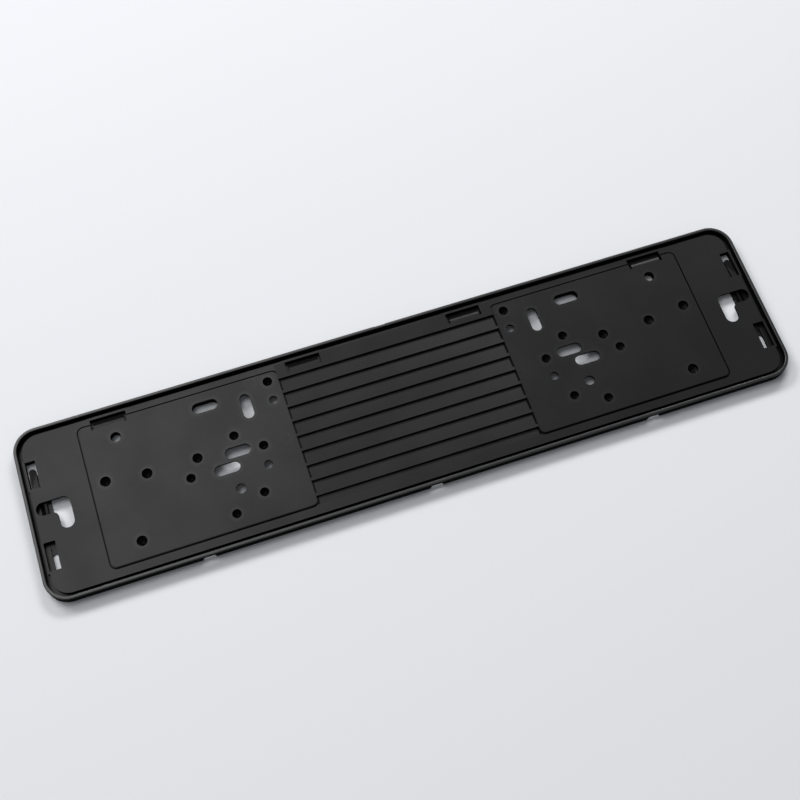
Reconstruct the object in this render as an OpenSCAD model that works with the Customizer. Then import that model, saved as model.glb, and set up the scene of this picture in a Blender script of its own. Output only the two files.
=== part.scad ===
// Number plate holder: a shallow tray, moulded in one piece and open at the back.
// X runs along the plate, Y up the plate and Z away from the vehicle.
// Z = 0 is the back plane, and the origin is the middle of the back.

/* [Tray] */
// Length of the holder
holder_l = 530; // [524:1:560]
// Width of the holder, across the plate
holder_w = 124.5; // [122:0.5:140]
// Radius of the outer corners
corner_r = 16.5; // [14:0.5:20]
// Height of the rim above the back plane
rim_h = 7; // [6.6:0.1:9]
// Thickness of the rim
rim_t = 2.3; // [1.8:0.1:2.6]
// Rounding on the top edges of the rim
rim_round = 0.6; // [0.2:0.1:0.8]

/* [Groove inside the rim] */
// Width of the groove along the long sides
groove_w = 2.4; // [1.8:0.1:2.8]
// Width of the groove at the ends
groove_end_w = 3.2; // [2.8:0.1:3.6]
// Thickness of the bottom of the groove
groove_t = 1.6; // [1.2:0.1:2.4]

/* [Seat] */
// Height of the seat that the plate lies on
seat_h = 5; // [4.8:0.1:5.6]
// Thickness of the seat
seat_t = 1.8; // [1.5:0.1:2.2]
// Thickness of the wall under the edge of the seat
skirt_t = 1.8; // [1.4:0.1:2.4]
// Length of the wider middle of each end of the seat
end_band_w = 82; // [81:1:86]
// How far that middle stands out
end_band_out = 0.7; // [0.4:0.1:1]

/* [Pads] */
// Height of the two pads above the seat
pad_rise = 0.9; // [0.5:0.1:1.2]
// Distance from the middle of the holder to the inner edge of a pad
pad_in = 79.5; // [77:0.5:81]
// Distance from the end of the holder to the outer edge of a pad
pad_end = 44.7; // [42:0.1:46]
// Distance from the lower side of the holder to the lower edge of a pad
pad_low = 11.4; // [10:0.1:14]
// Distance from the upper side of the holder to the upper edge of a pad
pad_high = 10.2; // [9.6:0.1:11]
// Radius of the corners of a pad
pad_r = 3.8; // [2:0.1:6]
// Width and height of the small step round the top of a pad
pad_edge = 0.4; // [0.2:0.1:0.6]
// Width of the groove round a pad
pad_groove_w = 1.1; // [0.6:0.1:1.4]
// Depth of that groove below the seat
pad_groove_depth = 1; // [0.5:0.1:1.1]

/* [Louvres between the pads] */
// Number of sloping strips
louvre_n = 9; // [7:1:9]
// Distance from one step to the next
louvre_pitch = 11.25; // [10:0.05:11.3]
// Place of the lowest step
louvre_y = -45; // [-47:0.5:-44]
// Depth of the low edge of each strip below the seat
louvre_dip = 0.7; // [0.2:0.1:0.8]
// Width of the small groove at the foot of each step
louvre_foot_w = 0.7; // [0.4:0.1:1]
// Depth of that groove below the low edge of the strip
louvre_foot_dip = 0.3; // [0.2:0.1:0.4]
// Width of the channel at each end of a strip
louvre_end_w = 1.2; // [0.6:0.1:1.6]
// Depth of that channel below the seat
louvre_end_dip = 1.2; // [0.9:0.1:1.2]
// Length of that channel
louvre_end_l = 9; // [6:0.1:9.6]

/* [Screw holes] */
// Distance of each outer screw hole from the middle of the holder
bolt_x = 196.5; // [190:0.5:200]
// Height of the outer screw holes above the middle line
bolt_y = 38.5; // [36:0.5:40]
// Diameter of the outer screw holes
bolt_d = 7.2; // [5:0.1:8]
// Wall of the collars behind the holes
collar_t = 1.5; // [1.2:0.1:2]
// Thickness of the skin that closes a knock-out hole
knock_t = 0.9; // [0.6:0.1:1.2]
// Depth of a shallow knock-out hole below the pad
knock_depth = 4.2; // [3.6:0.1:4.4]
// Height of the cone that centres a drill in a knock-out hole
knock_cone = 1.8; // [1:0.1:2]

/* [Slots] */
// Length of the slots along the plate
slot_l = 18; // [15:0.5:19]
// Width of the slots along the plate
slot_w = 7.7; // [5:0.1:8]
// Length of the slot across the plate
cross_slot_l = 18.5; // [14:0.5:20]
// Width of the slot across the plate
cross_slot_w = 7.3; // [5:0.1:8]

/* [Keyholes at the ends] */
// Distance from the end of the holder to the middle of the upright leg
key_leg_end = 24.3; // [23:0.1:26]
// Width of the upright leg
key_leg_w = 9.6; // [8:0.1:10]
// Distance from the middle line down to the foot of the leg
key_leg_low = 13.8; // [12:0.1:16]
// Width of the lengthwise arm
key_arm_w = 9.4; // [8:0.1:10]
// Height of the middle of the arm above the middle line
key_arm_y = 3.9; // [3:0.1:5]
// Distance from the end of the holder to the tip of the arm
key_arm_end = 5.9; // [5.7:0.1:7]
// Radius of the inner corner between arm and leg
key_fillet = 3; // [1:0.1:4]
// Length of the closed pocket at the tip of the arm
pocket_l = 10.4; // [8:0.1:11]
// Depth of the pocket and of the deep parts of the lower window below the seat
pocket_depth = 4.2; // [3.4:0.1:4.2]
// Distance from the tip of the arm back to the crest of the ramp in the pocket
ramp_l = 7.5; // [5:0.1:7.8]
// Depth of that crest below the seat
ramp_crest = 1.8; // [1.2:0.1:3]
// Length of the ramp from its crest to the bottom of the pocket
ramp_run = 4.8; // [3:0.1:5]

/* [Latch windows at the ends] */
// Distance of the middle of each window from the middle line
latch_y = 29.6; // [28:0.1:30]
// Length of each window
latch_l = 20; // [16:0.1:21]
// Distance from the end of the holder to the outer edge of the windows
latch_end = 5.6; // [5.4:0.1:6]
// Width of the upper window
latch_high_w = 6.9; // [6:0.1:8]
// Width of the lower window
latch_low_w = 7.8; // [7:0.1:9]
// Width of the finger in the upper window
finger_w = 4.6; // [3:0.1:5.4]
// Length of the finger
finger_l = 14.8; // [10:0.1:15.5]
// Depth of the foot of the finger below the seat
finger_sink = 0.6; // [0.5:0.1:0.8]
// Depth of the tip of the finger below the seat
finger_dip = 1.4; // [1:0.1:2]
// Tilt of the finger towards the end of the holder, in degrees
finger_tilt = 6; // [0:1:8]
// Thickness of the finger
finger_t = 1.6; // [1.2:0.1:2]
// Length of the open slot in the lower window
latch_slot_l = 11.8; // [8:0.1:13]
// Width of the open slot in the lower window
latch_slot_w = 4.3; // [4.1:0.1:4.6]
// Depth of the ledge beside that slot
ledge_depth = 3; // [1:0.1:3.4]
// Length of the deep part above the ledge
latch_deep_l = 3; // [2:0.5:6]

/* [Clip windows along the upper side] */
// Distance of the inner windows from the middle of the holder
clip_in_x = 59.4; // [52:0.1:62]
// Distance of the outer windows from the middle of the holder
clip_out_x = 198.4; // [190:0.1:202]
// Length of a clip window
clip_l = 25; // [18:0.5:26]
// Width of a clip window
clip_w = 7.2; // [6:0.1:7.6]
// Width of the strip left between the window and the groove
clip_strip = 1.7; // [1.4:0.1:2]
// Depth of the box behind a clip window
clip_depth = 3.6; // [3:0.1:4]
// Slit at each end of the tongue in the window
clip_slit = 1.8; // [1:0.1:2.2]
// How far these slits run past the foot of the tongue
slit_over = 0.8; // [0.4:0.1:1.2]
// Length of the tongue
tongue_l = 5.2; // [4:0.1:5.4]
// Thickness of the tongue
tongue_t = 1.4; // [1:0.1:1.8]
// Radius of the curve that leads the tongue down
tongue_r = 6; // [5.8:0.1:10]
// Depth of the foot of the tongue below the surface around it
tongue_sink = 0.2; // [0.2:0.1:0.6]

/* [Back] */
// Thickness of the cross ribs behind the seat
rib_t = 1.4; // [1:0.1:2]
// Gap between the ribs and the back plane
rib_lift = 0.8; // [0.2:0.1:1.6]
// Width of the drain notches in the lower wall
notch_w = 10; // [6:0.5:12]
// Height of the drain notches
notch_h = 4.2; // [3:0.1:4.6]
// Distance of the outer drain notches from the middle of the holder
notch_x = 158; // [150:1:170]
// Width of the flat on the upper wall
flat_w = 8; // [4:0.5:12]
// Depth of the flat
flat_depth = 0.5; // [0.2:0.1:0.8]

/* [Hidden] */
$fn = 64;

eps = 0.01;
half_l = holder_l / 2;
half_w = holder_w / 2;
seat_half_l = half_l - rim_t - groove_end_w;
seat_half_w = half_w - rim_t - groove_w;
seat_r = corner_r - rim_t - groove_w;
seat_under = seat_h - seat_t;
pad_h = seat_h + pad_rise;
pad_under = pad_h - seat_t;
pad_out = half_l - pad_end;
pad_y0 = -half_w + pad_low;
pad_y1 = half_w - pad_high;
louvre_top = louvre_y + louvre_n * louvre_pitch;
louvre_low = seat_h - louvre_dip;
louvre_foot = seat_h - 0.75 * seat_t;
louvre_ends = [for (i = [1:louvre_n]) louvre_top - i * louvre_pitch];
clip_bottom = seat_h - clip_depth;
clip_out = 0.25;
clip_out_w = clip_l + 4;
clip_y1 = seat_half_w + clip_out - clip_strip;
clip_y0 = clip_y1 - clip_w;
clip_xs = [clip_in_x, clip_out_x];
clip_in_h = seat_h + pad_rise * max(0, louvre_top - clip_y0) / louvre_pitch;
latch_x1 = half_l - latch_end;
latch_wall = 1.5;
latch_bulge_l = end_band_w - 2 * latch_y;

// Drilling pattern of one pad, as distance from the middle, height and diameter.
// The car makers' screw places set it, so it doesn't follow the tray's size.
open_holes = [[87, 31, 6], [103.3, -13.2, 6], [125.5, -24, 7]];
shallow_knocks = [[120, 14, 6.5], [102.7, 1, 6.5], [155.5, -6.5, 6.4],
    [111.3, -31.3, 6.3], [133, -40.2, 6.4]];
deep_knocks = [[87.2, 45.5, 6.7], [147.7, 6.1, 7], [182.6, 6.2, 7.3], [210.5, 9.3, 7.3],
    [197.2, -38.5, 7.3]];
plain_slots = [[120.5, 2.4], [130.5, -7.5]];
collared_slot = [133.2, 41.3];
cross_slot = [105.7, 32.3];
rib_xs = [26.5, 79.5, 168, 228];

// The same shape on the left and on the right
module both_sides() {
    children();
    mirror([1, 0, 0]) children();
}

// Flat outline with round corners, centred
module round_rect(l, w, r) {
    square([l - 2 * r, w], center = true);
    square([l, w - 2 * r], center = true);
    for (x = [-1, 1], y = [-1, 1])
        translate([x * (l / 2 - r), y * (w / 2 - r)]) circle(r);
}

// Flat outline of a slot with round ends, lying along X
module slot_shape(l, w) {
    square([l - w, w], center = true);
    for (x = [-1, 1]) translate([x * (l - w) / 2, 0]) circle(d = w);
}

// Section of the rim, with its outer face at corner_r
module rim_section() {
    translate([corner_r - rim_t, 0]) {
        square([rim_t, rim_h - rim_round]);
        translate([rim_round, 0]) square([rim_t - 2 * rim_round, rim_h]);
        for (x = [rim_round, rim_t - rim_round]) translate([x, rim_h - rim_round]) circle(rim_round);
    }
}

// The rim: its section led round the four sides and the four corners
module rim() {
    for (a = [0, 180]) rotate(a) {
        translate([0, half_w - corner_r, 0]) rotate([90, 0, 90])
            linear_extrude(holder_l - 2 * corner_r, center = true) rim_section();
        translate([half_l - corner_r, 0, 0]) rotate([90, 0, 0])
            linear_extrude(holder_w - 2 * corner_r, center = true) rim_section();
        translate([half_l - corner_r, half_w - corner_r, 0]) rotate_extrude(angle = 90) rim_section();
        translate([-half_l + corner_r, half_w - corner_r, 0]) rotate(90)
            rotate_extrude(angle = 90) rim_section();
    }
}

// Outline of the seat, wider beside the latch windows and the clip windows
module seat_outline() {
    round_rect(2 * seat_half_l, 2 * seat_half_w, seat_r);
    square([2 * (seat_half_l + end_band_out), end_band_w], center = true);
    for (y = [-1, 1]) translate([0, y * latch_y])
        square([2 * (latch_x1 + latch_wall), latch_bulge_l], center = true);
    for (x = [-1, 1], cx = clip_xs) translate([x * cx, 0])
        translate([-clip_out_w / 2, 0]) square([clip_out_w, seat_half_w + clip_out]);
}

// Hollow behind the seat
module hollow() {
    translate([0, 0, -1]) linear_extrude(seat_under + 1)
        round_rect(2 * (seat_half_l - skirt_t), 2 * (seat_half_w - skirt_t), seat_r - skirt_t);
}

// Outline of one pad, on the right
module pad_outline(inset = 0) {
    translate([(pad_in + pad_out) / 2, (pad_y0 + pad_y1) / 2])
        round_rect(pad_out - pad_in - 2 * inset, pad_y1 - pad_y0 - 2 * inset, pad_r - inset);
}

// One pad: a plate with a small step round its top edge
module pad() {
    foot = seat_h - seat_t / 2;
    translate([0, 0, foot]) linear_extrude(pad_h - pad_edge - foot) pad_outline();
    translate([0, 0, foot]) linear_extrude(pad_h - foot) pad_outline(pad_edge);
}

// Groove round a pad, except beside the strips
module pad_groove() {
    translate([0, 0, seat_h - pad_groove_depth]) linear_extrude(rim_h) difference() {
        pad_outline(-pad_groove_w);
        pad_outline();
        translate([0, louvre_y]) square([pad_in, holder_w]);
    }
}

// Section of the strips, which rise to the height of the pads, and of the apron below them
module louvre_section() {
    bottom = louvre_low - louvre_foot_dip;
    polygon(concat(
        [[louvre_top, louvre_foot], [louvre_top, seat_h]],
        [for (y = louvre_ends) each [
            [y, pad_h], [y, bottom], [y - louvre_foot_w, bottom], [y - louvre_foot_w, louvre_low]]],
        [[pad_y0, seat_h], [pad_y0, louvre_foot]]));
}

// Space between the pads that the strips fill
module louvre_bed() {
    translate([-pad_in, pad_y0, louvre_foot]) cube([2 * pad_in, louvre_top - pad_y0, rim_h]);
}

// Sloping strips with a step at the foot of each, and a channel at their ends
module louvres() {
    difference() {
        rotate([90, 0, 90]) linear_extrude(2 * pad_in + 2 * eps, center = true) louvre_section();
        both_sides() for (y = louvre_ends)
            translate([pad_in - louvre_end_w, max(y - louvre_end_l, pad_y0), seat_h - louvre_end_dip])
                cube([louvre_end_w, min(louvre_end_l, y - pad_y0), rim_h]);
    }
}

// Closed cup behind a knock-out hole
module knock_cup(p, depth) {
    translate([p.x, p.y, pad_h - depth - knock_t])
        cylinder(d = p.z + 2 * collar_t, h = depth + knock_t - seat_t / 2);
}

// Everything behind one pad that stands on the seat
module pad_back() {
    for (p = deep_knocks) knock_cup(p, pad_h - knock_t);
    for (p = shallow_knocks) knock_cup(p, knock_depth);
    translate([bolt_x, bolt_y, 0]) cylinder(d = bolt_d + 2 * collar_t, h = pad_h - seat_t / 2);
    translate([collared_slot.x, collared_slot.y, 0]) linear_extrude(pad_h - seat_t / 2)
        slot_shape(slot_l + 2 * collar_t, slot_w + 2 * collar_t);
}

// Knock-out hole with a conical bottom
module knock_cut(p, depth) {
    translate([p.x, p.y, pad_h - depth]) rotate_extrude()
        polygon([[0, 0], [p.z / 2, knock_cone], [p.z / 2, rim_h], [0, rim_h]]);
}

// Everything that is cut from the front of one pad
module pad_cuts() {
    for (p = deep_knocks) knock_cut(p, pad_h - knock_t);
    for (p = shallow_knocks) knock_cut(p, knock_depth);
    for (p = open_holes) translate([p.x, p.y, -1]) cylinder(d = p.z, h = rim_h + 2);
    translate([bolt_x, bolt_y, -1]) cylinder(d = bolt_d, h = rim_h + 2);
    for (p = concat(plain_slots, [collared_slot])) translate([p.x, p.y, -1])
        linear_extrude(rim_h + 2) slot_shape(slot_l, slot_w);
    translate([cross_slot.x, cross_slot.y, -1]) rotate(90)
        linear_extrude(rim_h + 2) slot_shape(cross_slot_l, cross_slot_w);
}

// Outline of the keyhole at the right end
module key_outline() {
    leg_x = half_l - key_leg_end;
    leg_r = key_leg_w / 2;
    arm_r = key_arm_w / 2;
    arm_y0 = key_arm_y - arm_r;
    translate([leg_x, -key_leg_low + leg_r]) circle(leg_r);
    translate([leg_x - leg_r, -key_leg_low + leg_r]) square([key_leg_w, key_leg_low - leg_r + key_arm_y]);
    translate([leg_x, key_arm_y]) circle(leg_r);
    translate([leg_x, arm_y0]) square([half_l - key_arm_end - arm_r - leg_x, key_arm_w]);
    translate([half_l - key_arm_end - arm_r, key_arm_y]) circle(arm_r);
    difference() {
        translate([leg_x + leg_r - eps, arm_y0 - key_fillet]) square([key_fillet + eps, key_fillet + eps]);
        translate([leg_x + leg_r + key_fillet, arm_y0 - key_fillet]) circle(key_fillet);
    }
}

// Section of the bottom of the pocket, with the ramp that falls towards the tip of the arm
module pocket_section() {
    tip = half_l - key_arm_end;
    top = seat_h - ramp_crest;
    bottom = seat_h - pocket_depth;
    polygon([
        [tip - pocket_l, -2], [tip - pocket_l, bottom],
        [tip - ramp_l, bottom], [tip - ramp_l, top],
        [tip - ramp_l + ramp_run / 3, top - 0.2], [tip - ramp_l + ramp_run, bottom],
        [tip + 2, bottom], [tip + 2, -2]]);
}

// Pocket behind the tip of the arm
module pocket_back() {
    x0 = half_l - key_arm_end - pocket_l;
    translate([x0, key_arm_y - key_arm_w / 2 - collar_t, 0])
        cube([seat_half_l - x0, key_arm_w + 2 * collar_t, seat_h - seat_t / 2]);
}

// Opening of the keyhole, with the closed pocket at its tip
module key_cut() {
    difference() {
        translate([0, 0, -1]) linear_extrude(rim_h + 2) key_outline();
        rotate([90, 0, 0]) linear_extrude(holder_w, center = true) pocket_section();
    }
}

// Blocks behind the latch windows, of which the cuts leave the walls and the ledge
module latch_back() {
    for (window = [[latch_high_w, latch_y], [latch_low_w, -latch_y]])
        translate([latch_x1 - window[0] - collar_t, window[1] - latch_l / 2 - collar_t, 0])
            cube([window[0] + collar_t, latch_l + 2 * collar_t, seat_h - seat_t / 2]);
}

// Openings of the two latch windows at the right end
module latch_cuts() {
    translate([latch_x1 - latch_high_w, latch_y - latch_l / 2, -1])
        cube([latch_high_w, latch_l, rim_h + 2]);
    translate([latch_x1 - latch_low_w, -latch_y - latch_l / 2, seat_h - ledge_depth])
        cube([latch_low_w, latch_l, rim_h]);
    translate([latch_x1 - latch_low_w, -latch_y - latch_l / 2, seat_h - pocket_depth])
        cube([latch_slot_w, latch_l, rim_h]);
    translate([latch_x1 - latch_low_w, -latch_y + latch_l / 2 - latch_deep_l, seat_h - pocket_depth])
        cube([latch_low_w, latch_deep_l, rim_h]);
    translate([latch_x1 - latch_low_w + latch_slot_w / 2, -latch_y - (latch_l - latch_slot_l) / 2, -1])
        rotate(90) linear_extrude(rim_h + 2) slot_shape(latch_slot_l, latch_slot_w);
}

// Springy finger in the upper latch window, which leans down towards its tip
module finger() {
    lean = atan((finger_dip - finger_sink) / finger_l);
    translate([latch_x1 - latch_high_w / 2, latch_y - latch_l / 2, seat_h - finger_sink])
        rotate([-lean, finger_tilt, 0]) translate([0, 0, -finger_t]) linear_extrude(finger_t) {
            translate([-finger_w / 2, -collar_t]) square([finger_w, finger_l + collar_t - finger_w / 2]);
            translate([0, finger_l - finger_w / 2]) circle(d = finger_w);
        }
}

// Block behind a clip window, of which the cut leaves a box
module clip_back() {
    translate([-clip_l / 2 - collar_t, clip_y0 - slit_over - collar_t, 0])
        cube([clip_l + 2 * collar_t, clip_w + slit_over + 2 * collar_t, pad_h - seat_t / 2]);
}

// Clip window, with the slits that free its tongue
module clip_cut() {
    translate([-clip_l / 2, clip_y0, clip_bottom]) cube([clip_l, clip_w, rim_h]);
    for (x = [-clip_l / 2, clip_l / 2 - clip_slit])
        translate([x, clip_y0 - slit_over, clip_bottom]) cube([clip_slit, clip_w, rim_h]);
}

// Curved tongue in a clip window, in a surface at height h
module tongue(h) {
    w = clip_l - 2 * clip_slit;
    rotate([90, 0, 90]) linear_extrude(w, center = true) intersection() {
        translate([clip_y0, h - tongue_sink - tongue_r]) difference() {
            circle(tongue_r);
            circle(tongue_r - tongue_t);
        }
        translate([clip_y0 - tongue_t / 2, rib_lift]) square([tongue_l + tongue_t / 2, rim_h]);
    }
}

// Drain notch through the lower wall, wider at its foot
module notch() {
    translate([0, -half_w - 1, 0]) rotate([90, 0, 180]) translate([0, 0, -1])
        linear_extrude(rim_t + 2) polygon([
            [-notch_w / 2, -1], [notch_w / 2, -1],
            [notch_w / 2 - notch_h / 3, notch_h], [-notch_w / 2 + notch_h / 3, notch_h]]);
}

module plate_holder() {
    color("#1c1d1e") {
        difference() {
            union() {
                rim();
                linear_extrude(groove_t) round_rect(holder_l - rim_t, holder_w - rim_t, corner_r - rim_t / 2);
                difference() {
                    linear_extrude(seat_h) seat_outline();
                    louvre_bed();
                    both_sides() pad_groove();
                }
                louvres();
                both_sides() pad();
            }
            difference() {
                union() {
                    hollow();
                    both_sides() translate([0, 0, -1]) linear_extrude(pad_under + 1) pad_outline(collar_t);
                }
                both_sides() {
                    pad_back();
                    pocket_back();
                    latch_back();
                    for (x = clip_xs) translate([x, 0, 0]) clip_back();
                }
                for (x = rib_xs) both_sides()
                    translate([x - rib_t / 2, -half_w, rib_lift]) cube([rib_t, holder_w, rim_h]);
            }
            both_sides() {
                pad_cuts();
                key_cut();
                latch_cuts();
                for (x = clip_xs) translate([x, 0, 0]) clip_cut();
            }
            for (x = [-notch_x, 0, notch_x]) translate([x, 0, 0]) notch();
            translate([-flat_w / 2, half_w - flat_depth, -1]) cube([flat_w, flat_depth + 1, rim_h + 2]);
        }
        both_sides() {
            finger();
            translate([clip_in_x, 0, 0]) tongue(clip_in_h);
            translate([clip_out_x, 0, 0]) tongue(pad_h);
        }
    }
}

plate_holder();
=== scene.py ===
import math
import bpy
from mathutils import Matrix, Vector

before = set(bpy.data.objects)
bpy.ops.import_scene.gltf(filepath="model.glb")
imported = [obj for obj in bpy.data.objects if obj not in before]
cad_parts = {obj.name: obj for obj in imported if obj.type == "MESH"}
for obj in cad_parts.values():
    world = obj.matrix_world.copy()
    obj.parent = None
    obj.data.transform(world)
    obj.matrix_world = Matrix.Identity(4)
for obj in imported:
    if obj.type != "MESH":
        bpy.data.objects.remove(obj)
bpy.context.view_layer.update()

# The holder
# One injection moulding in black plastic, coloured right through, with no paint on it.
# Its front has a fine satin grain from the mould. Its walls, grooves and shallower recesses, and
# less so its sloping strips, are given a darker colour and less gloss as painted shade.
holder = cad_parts["plate_holder"]
mm_per_m = 1000.0


def shader_group(name, inputs, outputs):
    tree = bpy.data.node_groups.new(name, "ShaderNodeTree")
    for labels, side in ((inputs, "INPUT"), (outputs, "OUTPUT")):
        for label in labels:
            tree.interface.new_socket(name=label, in_out=side, socket_type="NodeSocketFloat")
    return tree, tree.nodes.new("NodeGroupInput").outputs, tree.nodes.new("NodeGroupOutput").inputs


def plug(tree, socket, value):
    if isinstance(value, bpy.types.NodeSocket):
        tree.links.new(value, socket)
    else:
        socket.default_value = value


def calc(tree, operation, first, second=0.0, clamp=False):
    node = tree.nodes.new("ShaderNodeMath")
    node.operation = operation
    node.use_clamp = clamp
    plug(tree, node.inputs[0], first)
    plug(tree, node.inputs[1], second)
    return node.outputs[0]


def fade(tree, value, start, end, low=0.0, high=1.0):
    node = tree.nodes.new("ShaderNodeMapRange")
    node.interpolation_type = "SMOOTHSTEP"
    labels = ("Value", "From Min", "From Max", "To Min", "To Max")
    for label, amount in zip(labels, (value, start, end, low, high)):
        plug(tree, node.inputs[label], amount)
    return node.outputs["Result"]


def use_group(tree, group, **values):
    node = tree.nodes.new("ShaderNodeGroup")
    node.node_tree = group
    for label, value in values.items():
        plug(tree, node.inputs[label.replace("_", " ")], value)
    return node.outputs


# Place on the holder in millimetres, with left and right folded together. Slope is 1 on a face
# that looks straight out of the seat, 0 on a wall and -1 on the back.
def folded_place_group():
    tree, _, out = shader_group("folded_place", [], ["Across", "Up", "Height", "Slope"])
    place = tree.nodes.new("ShaderNodeTexCoord")
    axes = tree.nodes.new("ShaderNodeSeparateXYZ")
    tree.links.new(place.outputs["Object"], axes.inputs[0])
    across, up, height = (calc(tree, "MULTIPLY", axis, mm_per_m) for axis in axes.outputs)
    surface = tree.nodes.new("ShaderNodeNewGeometry")
    lean = tree.nodes.new("ShaderNodeSeparateXYZ")
    tree.links.new(surface.outputs["Normal"], lean.inputs[0])
    plug(tree, out["Across"], calc(tree, "ABSOLUTE", across))
    plug(tree, out["Up"], up)
    plug(tree, out["Height"], height)
    plug(tree, out["Slope"], lean.outputs["Z"])
    return tree


# Masks for gloss and colour. The front faces, the top of the rim and the back get full gloss and
# colour. Walls, grooves and the shallower recesses, and less so the sloping strips, get less gloss
# and a darker colour as painted shade, chosen by height and by how far a face leans. The floors of
# the deepest pits and pockets are spared it.
def gloss_and_painted_shade_faces_group():
    tree, given, out = shader_group("gloss_and_painted_shade_faces", ["Height", "Slope"], ["Front", "Rim", "Back"])
    height, slope = given["Height"], given["Slope"]
    rim = calc(tree, "MULTIPLY", fade(tree, height, 6.2, 6.5), fade(tree, slope, 0.0, 0.5))
    painted_shade_in_grooves = fade(tree, height, 3.95, 4.25, 0.18, 1.0)
    pit_floors = fade(tree, height, 2.9, 3.3, 0.8, 0.0)
    front = calc(tree, "ADD", painted_shade_in_grooves, pit_floors)
    painted_shade_on_walls = fade(tree, slope, 0.86, 0.988)
    painted_shade_on_strips = fade(tree, slope, 0.9974, 0.9994, 0.60, 1.0)
    for mask in (painted_shade_on_walls, painted_shade_on_strips, calc(tree, "SUBTRACT", 1.0, rim)):
        front = calc(tree, "MULTIPLY", front, mask)
    plug(tree, out["Front"], front)
    plug(tree, out["Rim"], rim)
    plug(tree, out["Back"], fade(tree, slope, -0.5, -0.9))
    return tree


# Distance from the edge of a hole or slot
def hole_edge_group():
    labels = ["Across", "Up", "Hole Across", "Hole Up", "Half Length", "Half Height", "Radius"]
    tree, given, out = shader_group("hole_edge", labels, ["Distance"])
    squares = []
    for axis, half in (("Across", "Half Length"), ("Up", "Half Height")):
        away = calc(tree, "ABSOLUTE", calc(tree, "SUBTRACT", given[axis], given["Hole " + axis]))
        past = calc(tree, "MAXIMUM", calc(tree, "SUBTRACT", away, given[half]), 0.0)
        squares.append(calc(tree, "POWER", past, 2.0))
    reach = calc(tree, "SQRT", calc(tree, "ADD", *squares))
    plug(tree, out["Distance"], calc(tree, "SUBTRACT", reach, given["Radius"]))
    return tree


# Fine grain and the slow, cloudy change of its gloss
def moulded_grain_group():
    tree, given, out = shader_group(
        "moulded_grain", ["Grain Scale", "Cloud Scale"], ["Grain", "Cloud"])
    place = tree.nodes.new("ShaderNodeTexCoord")
    for label, detail in (("Grain", 2.0), ("Cloud", 3.0)):
        noise = tree.nodes.new("ShaderNodeTexNoise")
        tree.links.new(place.outputs["Object"], noise.inputs["Vector"])
        plug(tree, noise.inputs["Scale"], given[label + " Scale"])
        noise.inputs["Detail"].default_value = detail
        plug(tree, out[label], noise.outputs["Fac"])
    return tree


# Holes with a glossier ring of shrunk plastic round them, in millimetres: across, up,
# half length, half height, radius
ringed_holes = [
    (87.2, 45.5, 0, 0, 3.35), (147.7, 6.1, 0, 0, 3.5), (182.6, 6.2, 0, 0, 3.65),
    (210.5, 9.3, 0, 0, 3.65), (197.2, -38.5, 0, 0, 3.65), (120, 14, 0, 0, 3.25),
    (102.7, 1, 0, 0, 3.25), (155.5, -6.5, 0, 0, 3.2), (111.3, -31.3, 0, 0, 3.15),
    (133, -40.2, 0, 0, 3.2), (196.5, 38.5, 0, 0, 3.6), (87, 31, 0, 0, 3),
    (133.2, 41.3, 5.15, 0, 3.85), (105.7, 32.3, 0, 5.6, 3.65), (120.5, 2.4, 5.15, 0, 3.85),
    (130.5, -7.5, 5.15, 0, 3.85),
]
# Marks of the ejector pins, in millimetres: across, up, radius, height of their edge
pin_marks = [(99, 47.8, 4, 0.03), (87, 0.7, 4, 0.03), (254.4, 46.5, 6, 0.02), (213, 46, 4, 0.015)]


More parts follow.
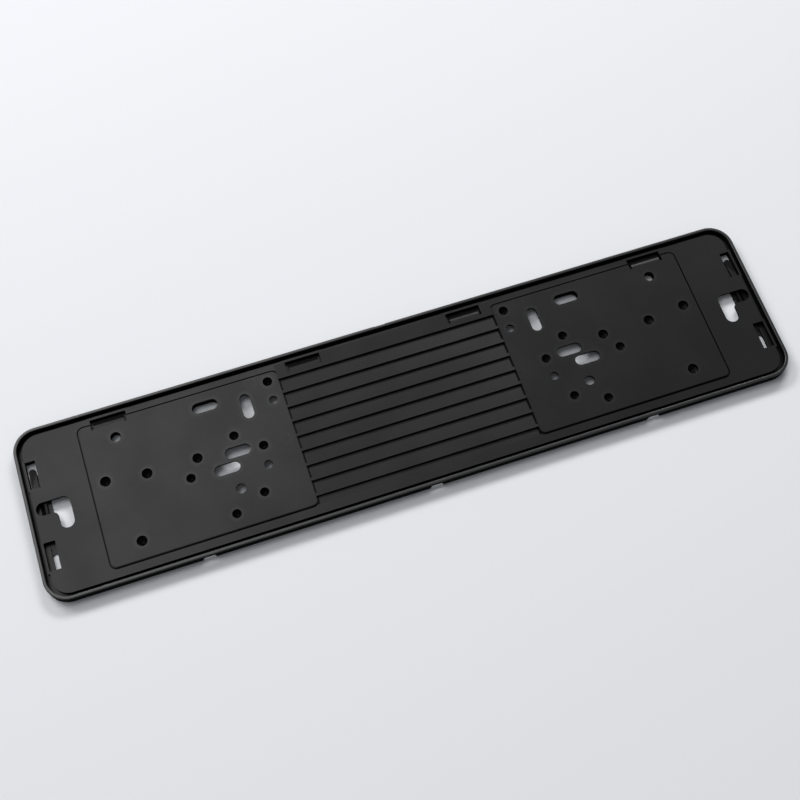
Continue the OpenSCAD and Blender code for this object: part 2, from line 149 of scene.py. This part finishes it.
def black_plastic(name):
    material = bpy.data.materials.new(name)
    material.use_nodes = True
    tree = material.node_tree
    plastic = tree.nodes["Principled BSDF"]
    plastic.inputs["Specular IOR Level"].default_value = 0.0
    plastic.inputs["Roughness"].default_value = 0.8
    plastic.inputs["Coat Roughness"].default_value = 0.34
    plastic.inputs["Coat IOR"].default_value = 1.6

    place = use_group(tree, folded_place_group())
    faces = use_group(tree, gloss_and_painted_shade_faces_group(), Height=place["Height"], Slope=place["Slope"])
    grain = use_group(tree, moulded_grain_group(), Grain_Scale=1800.0, Cloud_Scale=22.0)
    hole_edge = hole_edge_group()

    def distance(across, up, half_length, half_height, radius):
        return use_group(
            tree, hole_edge, Across=place["Across"], Up=place["Up"], Hole_Across=float(across),
            Hole_Up=float(up), Half_Length=float(half_length), Half_Height=float(half_height),
            Radius=float(radius))["Distance"]

    nearest = 50.0
    for hole in ringed_holes:
        nearest = calc(tree, "MINIMUM", distance(*hole), nearest)
    ring = calc(tree, "MULTIPLY", fade(tree, nearest, 0.4, 3.2, 1.0, 0.0), faces["Front"])

    pins = 0.0
    for across, up, radius, height in pin_marks:
        off = calc(tree, "ABSOLUTE", distance(across, up, 0, 0, radius))
        pins = calc(tree, "ADD", fade(tree, off, 0.1, 0.6, height, 0.0), pins)

    # The gloss is all in the coat, so that walls, grooves and the sloping strips can be given less
    # of it as painted shade
    clouds = fade(tree, grain["Cloud"], 0.35, 0.65, 0.32, 0.40)
    specks = calc(tree, "SUBTRACT", grain["Grain"], 0.5)
    gloss = calc(tree, "MULTIPLY", faces["Front"], clouds)
    specks = calc(tree, "MULTIPLY", faces["Front"], specks)
    parts = ((ring, 0.11), (faces["Rim"], 1.0), (faces["Back"], 0.35), (specks, 0.2), (pins, 2.5))
    for mask, share in parts:
        gloss = calc(tree, "ADD", gloss, calc(tree, "MULTIPLY", mask, share))
    gloss_in_painted_shade = 0.06
    plug(tree, plastic.inputs["Coat Weight"], calc(tree, "ADD", gloss, gloss_in_painted_shade, clamp=True))

    # Walls and grooves, and less so the sloping strips, get a darker base colour: painted shade
    rim_and_back = calc(tree, "ADD", faces["Rim"], faces["Back"])
    unshaded_share = calc(tree, "ADD", faces["Front"], rim_and_back, clamp=True)
    painted_shade_mix = tree.nodes.new("ShaderNodeMix")
    painted_shade_mix.data_type = "RGBA"
    share, painted_shade_colour, unshaded_colour = (painted_shade_mix.inputs[index] for index in (0, 6, 7))
    painted_shade_colour.default_value = (0.0045, 0.0045, 0.0047, 1)
    unshaded_colour.default_value = (0.0100, 0.0100, 0.0104, 1)
    mixed_colour = painted_shade_mix.outputs[2]
    tree.links.new(unshaded_share, share)
    tree.links.new(mixed_colour, plastic.inputs["Base Color"])

    grain_height = 0.010
    relief = tree.nodes.new("ShaderNodeBump")
    relief.inputs["Distance"].default_value = 1 / mm_per_m
    relief_height = calc(tree, "ADD", calc(tree, "MULTIPLY", grain["Grain"], grain_height), pins)
    plug(tree, relief.inputs["Height"], relief_height)
    tree.links.new(relief.outputs["Normal"], plastic.inputs["Normal"])
    return material


holder_black = black_plastic("black_plastic")
for slot in holder.material_slots:
    slot.material = holder_black

# The table
# A plain white table top that the holder lies on and that takes its soft shadow. Far from the
# holder the camera sees it pass into a pale backdrop.
scene = bpy.context.scene
pale = (0.76, 0.775, 0.81, 1)
table_reach = 4.0


# Shows one shader or the other on the surface
def blend_shaders(tree, share, first, second, surface):
    blend = tree.nodes.new("ShaderNodeMixShader")
    for socket, source in zip(blend.inputs, (share, first, second)):
        tree.links.new(source, socket)
    tree.links.new(blend.outputs["Shader"], surface)


corners = [(x * table_reach, y * table_reach, 0) for x, y in ((-1, -1), (1, -1), (1, 1), (-1, 1))]
table_mesh = bpy.data.meshes.new("table")
table_mesh.from_pydata(corners, [], [(0, 1, 2, 3)])
table = bpy.data.objects.new("table", table_mesh)
scene.collection.objects.link(table)
white_top = bpy.data.materials.new("white_top")
white_top.use_nodes = True
top_tree = white_top.node_tree
paint = top_tree.nodes["Principled BSDF"]
paint.inputs["Base Color"].default_value = (0.80, 0.815, 0.845, 1)
paint.inputs["Roughness"].default_value = 0.7
haze = top_tree.nodes.new("ShaderNodeEmission")
haze.inputs["Color"].default_value = pale
spot = top_tree.nodes.new("ShaderNodeTexCoord")
from_middle = top_tree.nodes.new("ShaderNodeVectorMath")
from_middle.operation = "LENGTH"
top_tree.links.new(spot.outputs["Object"], from_middle.inputs[0])
far_away = fade(top_tree, from_middle.outputs["Value"], 0.9, 2.4)
light_path = top_tree.nodes.new("ShaderNodeLightPath")
hazy = calc(top_tree, "MULTIPLY", far_away, light_path.outputs["Is Camera Ray"])
blend_shaders(
    top_tree, hazy, paint.outputs["BSDF"], haze.outputs["Emission"],
    top_tree.nodes["Material Output"].inputs["Surface"])
table_mesh.materials.append(white_top)

# Light
# A large dim soft box hangs above the upper left of the holder and shows in its front as a sheen.
# Two stronger boxes stand low behind its upper side, light the table and throw the shadow.
scene.view_settings.view_transform = "Standard"
studio = bpy.data.worlds.new("studio")
scene.world = studio
studio.use_nodes = True
studio_tree = studio.node_tree
room = studio_tree.nodes["Background"]
room.inputs["Color"].default_value = (0.95, 0.97, 1.0, 1)
room.inputs["Strength"].default_value = 0.20
backdrop = studio_tree.nodes.new("ShaderNodeBackground")
backdrop.inputs["Color"].default_value = pale
light_path = studio_tree.nodes.new("ShaderNodeLightPath")
blend_shaders(
    studio_tree, light_path.outputs["Is Camera Ray"], room.outputs["Background"],
    backdrop.outputs["Background"], studio_tree.nodes["World Output"].inputs["Surface"])


# Angles in degrees, sizes in metres, power in watts
def soft_box(name, azimuth, elevation, distance, width, height, power):
    lamp = bpy.data.lights.new(name, "AREA")
    lamp.shape = "RECTANGLE"
    lamp.size = width
    lamp.size_y = height
    lamp.energy = power
    box = bpy.data.objects.new(name, lamp)
    scene.collection.objects.link(box)
    turn, rise = math.radians(azimuth), math.radians(elevation)
    box.location = distance * Vector(
        (math.sin(turn) * math.cos(rise), math.cos(turn) * math.cos(rise), math.sin(rise)))
    box.rotation_mode = "QUATERNION"
    box.rotation_quaternion = (-box.location).to_track_quat("-Z", "Y")


soft_box("high_box", -32, 62, 3.0, 2.3, 1.5, 26)
soft_box("back_left_box", -28, 32, 5.2, 2.6, 1.0, 144)
soft_box("back_right_box", 28, 32, 5.2, 2.6, 1.0, 144)

# Camera
# The picture is taken from above the lower side of the holder, a little left of its middle.
# The lens is a bit longer than a standard one, and the camera is rolled by under a degree.
camera_data = bpy.data.cameras.new("camera")
camera_data.sensor_width = 36.0
camera_data.lens = 56.87
camera_place = Vector((-0.11627, -0.31738, 0.80794))
camera_aim = Vector((-0.00351, 0.00570, 0.0))
camera_roll = Matrix.Rotation(math.radians(0.783), 4, "Z")
camera = bpy.data.objects.new("camera", camera_data)
scene.collection.objects.link(camera)
look = (camera_aim - camera_place).to_track_quat("-Z", "Y").to_matrix().to_4x4()
camera.matrix_world = Matrix.Translation(camera_place) @ look @ camera_roll
scene.camera = camera
